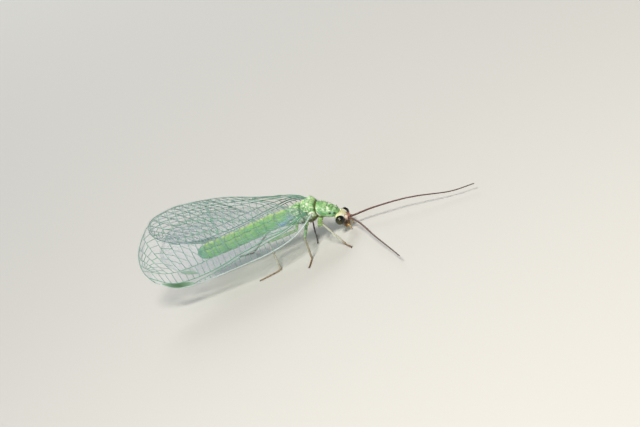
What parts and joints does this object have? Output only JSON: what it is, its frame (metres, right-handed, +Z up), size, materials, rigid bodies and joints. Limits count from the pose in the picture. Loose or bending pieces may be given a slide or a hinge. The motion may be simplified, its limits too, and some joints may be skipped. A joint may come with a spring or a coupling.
{
  "type": "green lacewing",
  "caption": "Still, life-size green lacewing standing level, with veined wings held like a roof over a slender green body and long feelers.",
  "frame": {"origin": "middle of the insect's outline seen from above, on the ground its feet stand on", "axes": "+X forward to the head, +Y to the insect's left, +Z up"},
  "size_m": [0.0224, 0.01, 0.0057],
  "materials": {
    "green_cuticle": "satin",
    "head_cuticle": "satin",
    "mouth_cuticle": "satin",
    "compound_eye": "gloss",
    "feeler_cuticle": "matte",
    "thigh_cuticle": "satin",
    "shank_cuticle": "satin",
    "foot_cuticle": "satin",
    "wing_membrane": "gloss"
  },
  "bodies": {
    "root": {"head": "head_cuticle", "mouthparts": "mouth_cuticle", "eye_left": "compound_eye", "eye_right": "compound_eye", "antenna_left": "feeler_cuticle", "antenna_right": "feeler_cuticle", "prothorax": "green_cuticle", "mesothorax": "green_cuticle", "metathorax": "green_cuticle", "abdomen": "green_cuticle", "thigh_front_right": "thigh_cuticle", "shank_front_right": "shank_cuticle", "foot_front_right": "foot_cuticle", "thigh_middle_right": "thigh_cuticle", "shank_middle_right": "shank_cuticle", "foot_middle_right": "foot_cuticle", "thigh_hind_right": "thigh_cuticle", "shank_hind_right": "shank_cuticle", "foot_hind_right": "foot_cuticle", "thigh_front_left": "thigh_cuticle", "shank_front_left": "shank_cuticle", "foot_front_left": "foot_cuticle", "thigh_middle_left": "thigh_cuticle", "shank_middle_left": "shank_cuticle", "foot_middle_left": "foot_cuticle", "thigh_hind_left": "thigh_cuticle", "shank_hind_left": "shank_cuticle", "foot_hind_left": "foot_cuticle", "forewing_left": "wing_membrane", "forewing_right": "wing_membrane", "hindwing_left": "wing_membrane", "hindwing_right": "wing_membrane"}
  },
  "joints": []
}
